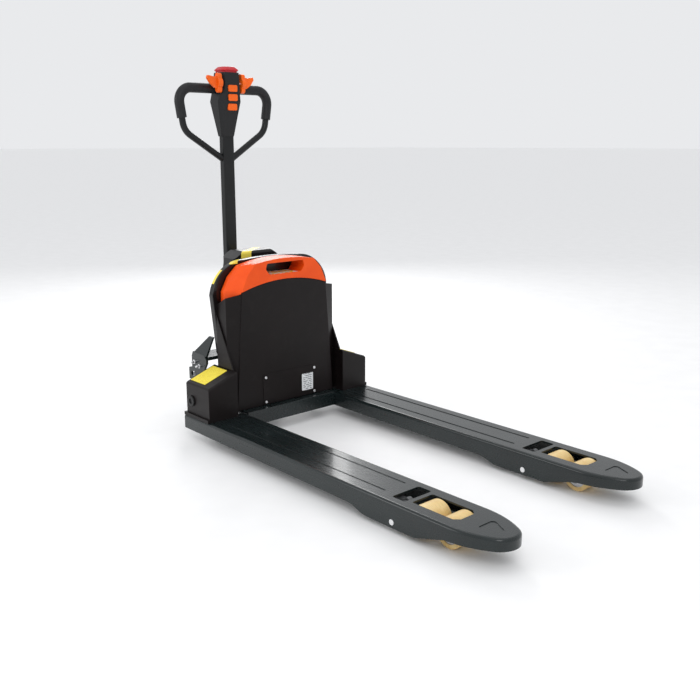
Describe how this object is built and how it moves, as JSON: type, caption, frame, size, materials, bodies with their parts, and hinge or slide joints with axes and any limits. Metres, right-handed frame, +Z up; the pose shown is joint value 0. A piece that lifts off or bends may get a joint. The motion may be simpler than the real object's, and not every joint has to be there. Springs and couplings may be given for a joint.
{
  "type": "walkie pallet truck",
  "caption": "Electric walkie pallet truck: two channel forks with tandem rollers, upright battery box, steered drive unit and a tilting tiller with a loop handle.",
  "frame": {"origin": "floor level under the centre of the bounding box", "axes": "+X towards the fork tips, +Y to the left of someone who looks along the forks from the tiller, +Z up"},
  "size_m": [1.5349, 0.687, 1.197],
  "materials": {
    "frame_paint": "semi-gloss powder coat",
    "grey_steel": "satin primer",
    "bright_pin": "bright zinc",
    "panel_black": "fine matt texture",
    "gloss_cover": "gloss with a fine grain",
    "plug_black": "matt",
    "grit_yellow": "gritty anti-slip film",
    "label_white": "printed foil",
    "motor_black": "semi-gloss",
    "cast_metal": "cast and blasted",
    "tank_plastic": "translucent white",
    "bearing_steel": "machined",
    "battery_black": "moulded",
    "cap_orange": "satin moulded",
    "control_orange": "satin moulded",
    "button_red": "satin moulded",
    "drive_tyre": "solid rubber",
    "roller_cream": "polyurethane",
    "tiller_paint": "fine texture powder coat",
    "grip_rubber": "matt",
    "head_plastic": "moulded"
  },
  "bodies": {
    "chassis": {"chassis_deck": "frame_paint", "side_brackets": "frame_paint", "grease_fittings": "bright_pin", "lift_cylinders": "motor_black", "steering_bearing": "bearing_steel"},
    "fork_frame": {"fork_left": "frame_paint", "fork_right": "frame_paint", "heel_crossmember": "frame_paint", "corner_boxes": "panel_black", "pivot_plugs": "plug_black", "step_pads": "grit_yellow", "front_panel": "panel_black", "side_strips": "panel_black", "arch_plate": "gloss_cover", "battery_tray": "panel_black", "lift_rams": "bright_pin", "side_wings": "panel_black", "access_plate": "panel_black", "rating_plate": "label_white", "access_screws": "bright_pin", "pump_motor": "motor_black", "pump_block": "cast_metal", "oil_tank": "tank_plastic", "controller": "cast_metal", "pivot_pins": "bright_pin"},
    "battery": {"battery_case": "battery_black", "battery_cap": "cap_orange"},
    "rocker": {"rocker": "grey_steel"},
    "push_rods": {"push_rods": "grey_steel"},
    "levers": {"levers": "grey_steel"},
    "bogies": {"bogies": "grey_steel"},
    "drive_unit": {"drive_bracket": "frame_paint", "gearbox": "cast_metal", "drive_motor": "motor_black", "brake": "motor_black", "drive_cover": "gloss_cover", "tiller_yoke": "frame_paint", "tiller_pin": "bright_pin"},
    "drive_wheel": {"wheel_hub": "cast_metal", "wheel_tyre": "drive_tyre", "wheel_bolts": "bright_pin"},
    "tiller": {"tiller_shaft": "tiller_paint", "loop_handle": "tiller_paint", "grips": "grip_rubber", "head_front_shell": "head_plastic", "head_back_shell": "head_plastic"},
    "throttle": {"throttle_shaft": "bright_pin", "throttle_paddles": "control_orange"},
    "horn_button": {"horn_button": "control_orange"},
    "raise_button": {"raise_button": "control_orange"},
    "lower_button": {"lower_button": "control_orange"},
    "belly_button": {"belly_button": "button_red"},
    "roller_rear_left": {"roller_tyre_rear_left": "roller_cream", "roller_core_rear_left": "bearing_steel"},
    "roller_rear_right": {"roller_tyre_rear_right": "roller_cream", "roller_core_rear_right": "bearing_steel"},
    "roller_front_left": {"roller_tyre_front_left": "roller_cream", "roller_core_front_left": "bearing_steel"},
    "roller_front_right": {"roller_tyre_front_right": "roller_cream", "roller_core_front_right": "bearing_steel"}
  },
  "joints": [
    {"name": "lift", "type": "slide", "parent": "chassis", "child": "fork_frame", "axis": [0, 0, 1], "range_m": [0, 0.105]},
    {"name": "battery_slide", "type": "slide", "parent": "fork_frame", "child": "battery", "axis": [0, 0, 1], "range_m": [0, 0.36]},
    {"name": "rocker_pivot", "type": "hinge", "parent": "fork_frame", "child": "rocker", "pos_m": [-0.4825, 0, 0.135], "axis": [0, -1, 0], "range_deg": [0, 50.01]},
    {"name": "rod_slide", "type": "slide", "parent": "fork_frame", "child": "push_rods", "axis": [1, 0, 0], "range_m": [0, 0.03357]},
    {"name": "lever_pivot", "type": "hinge", "parent": "fork_frame", "child": "levers", "pos_m": [0.4425, 0, 0.03], "axis": [0, 1, 0], "range_deg": [0, 68.04]},
    {"name": "bogie_pivot", "type": "hinge", "parent": "levers", "child": "bogies", "pos_m": [0.549, 0, 0.04], "axis": [0, -1, 0], "range_deg": [0, 68.04]},
    {"name": "steering", "type": "hinge", "parent": "chassis", "child": "drive_unit", "pos_m": [-0.6105, 0, 0.252], "axis": [0, 0, 1], "range_deg": [-90, 90]},
    {"name": "drive_wheel_spin", "type": "hinge", "parent": "drive_unit", "child": "drive_wheel", "pos_m": [-0.6105, 0, 0.105], "axis": [0, 1, 0], "continuous": true},
    {"name": "tiller_tilt", "type": "hinge", "parent": "drive_unit", "child": "tiller", "pos_m": [-0.7345, 0, 0.3], "axis": [0, -1, 0], "range_deg": [0, 78], "stiffness_Nm_per_rad": 45, "springref_deg": -20.05},
    {"name": "throttle_turn", "type": "hinge", "parent": "tiller", "child": "throttle", "pos_m": [-0.7015, 0, 1.143], "axis": [0, 1, 0], "range_deg": [-25, 25], "stiffness_Nm_per_rad": 1.2},
    {"name": "horn_button_press", "type": "slide", "parent": "tiller", "child": "horn_button", "axis": [-1, 0, 0], "range_m": [0, 0.002], "stiffness_N_per_m": 800, "springref_m": -0.001},
    {"name": "raise_button_press", "type": "slide", "parent": "tiller", "child": "raise_button", "axis": [-1, 0, 0], "range_m": [0, 0.002], "stiffness_N_per_m": 800, "springref_m": -0.001},
    {"name": "lower_button_press", "type": "slide", "parent": "tiller", "child": "lower_button", "axis": [-1, 0, 0], "range_m": [0, 0.002], "stiffness_N_per_m": 800, "springref_m": -0.001},
    {"name": "belly_button_press", "type": "slide", "parent": "tiller", "child": "belly_button", "axis": [0, 0, -1], "range_m": [0, 0.005], "stiffness_N_per_m": 600, "springref_m": -0.003},
    {"name": "roller_rear_left_spin", "type": "hinge", "parent": "bogies", "child": "roller_rear_left", "pos_m": [0.5045, 0.265, 0.04], "axis": [0, 1, 0], "continuous": true},
    {"name": "roller_rear_right_spin", "type": "hinge", "parent": "bogies", "child": "roller_rear_right", "pos_m": [0.5045, -0.265, 0.04], "axis": [0, 1, 0], "continuous": true},
    {"name": "roller_front_left_spin", "type": "hinge", "parent": "bogies", "child": "roller_front_left", "pos_m": [0.5935, 0.265, 0.04], "axis": [0, 1, 0], "continuous": true},
    {"name": "roller_front_right_spin", "type": "hinge", "parent": "bogies", "child": "roller_front_right", "pos_m": [0.5935, -0.265, 0.04], "axis": [0, 1, 0], "continuous": true}
  ],
  "couplings": [
    {"joint": "rocker_pivot", "follows": "lift", "rad_per_m": 8.3111},
    {"joint": "rod_slide", "follows": "lift", "ratio": 0.31962},
    {"joint": "lever_pivot", "follows": "lift", "rad_per_m": 11.306},
    {"joint": "bogie_pivot", "follows": "lift", "rad_per_m": 11.306}
  ]
}
